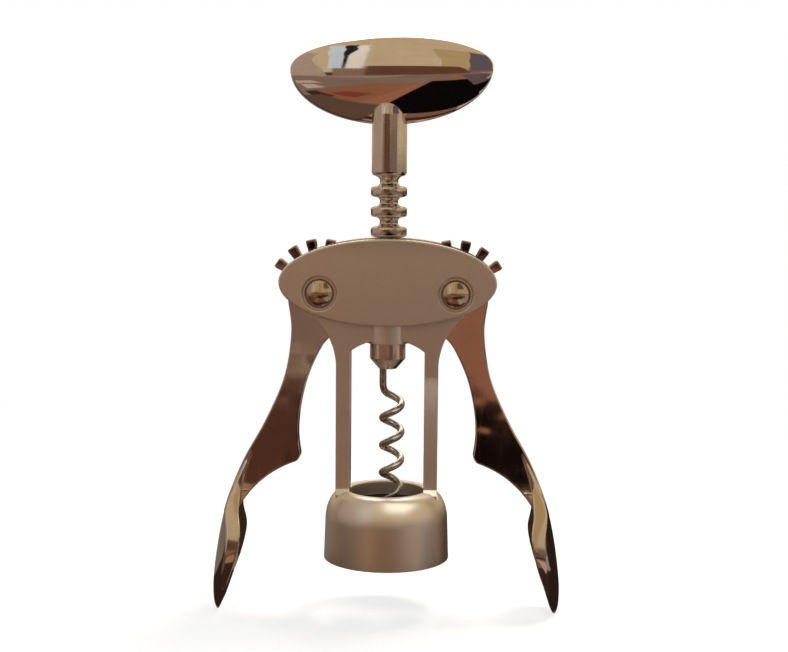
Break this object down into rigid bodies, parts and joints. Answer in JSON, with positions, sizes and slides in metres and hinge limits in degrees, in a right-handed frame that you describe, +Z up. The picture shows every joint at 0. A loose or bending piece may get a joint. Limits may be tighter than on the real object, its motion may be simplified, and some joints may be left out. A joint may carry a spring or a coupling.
{
  "type": "wing corkscrew",
  "caption": "Wing corkscrew with a lens-shaped handle, geared lever wings, an oval head and a bell that sits on the bottle.",
  "frame": {"origin": "centre of the bell's mouth, on the spindle's axis", "axes": "+Z up the spindle to the handle, +X to the right wing, -Y to the front cover plate"},
  "size_m": [0.1044, 0.0374, 0.1706],
  "materials": {
    "satin_nickel": "satin nickel plate on a zinc casting",
    "polished_chrome": "mirror-polished plate",
    "worm_steel": "dark drawn wire, semi-bright",
    "plain_steel": "plain stamped steel",
    "bush_nylon": "natural nylon",
    "liner_plastic": "black moulded plastic"
  },
  "bodies": {
    "frame": {"frame_casting": "satin_nickel", "bell": "satin_nickel", "bell_liner": "liner_plastic", "front_cover_plate": "satin_nickel", "rear_cover_plate": "satin_nickel", "left_pivot_rivet": "polished_chrome", "right_pivot_rivet": "polished_chrome", "left_rivet_cap": "polished_chrome", "right_rivet_cap": "polished_chrome", "pivot_washers": "plain_steel", "bush_retainer": "plain_steel"},
    "guide": {"guide_bush": "bush_nylon"},
    "spindle": {"rack_spindle": "polished_chrome", "handle": "polished_chrome", "worm": "worm_steel"},
    "left_lever": {"left_wing": "polished_chrome"},
    "right_lever": {"right_wing": "polished_chrome"}
  },
  "joints": [
    {"name": "left_wing_hinge", "type": "hinge", "parent": "frame", "child": "left_lever", "pos_m": [-0.0198, 0, 0.0796], "axis": [0, 1, 0], "range_deg": [0, 118]},
    {"name": "right_wing_hinge", "type": "hinge", "parent": "frame", "child": "right_lever", "pos_m": [0.0198, 0, 0.0796], "axis": [0, -1, 0], "range_deg": [0, 118]},
    {"name": "handle_spin", "type": "hinge", "parent": "frame", "child": "guide", "pos_m": [0, 0, 0.0912], "axis": [0, 0, 1], "continuous": true},
    {"name": "spindle_slide", "type": "slide", "parent": "guide", "child": "spindle", "axis": [0, 0, -1], "range_m": [0, 0.03091]}
  ],
  "couplings": [
    {"joint": "right_wing_hinge", "follows": "left_wing_hinge", "ratio": 1},
    {"joint": "spindle_slide", "follows": "left_wing_hinge", "m_per_rad": 0.015}
  ]
}
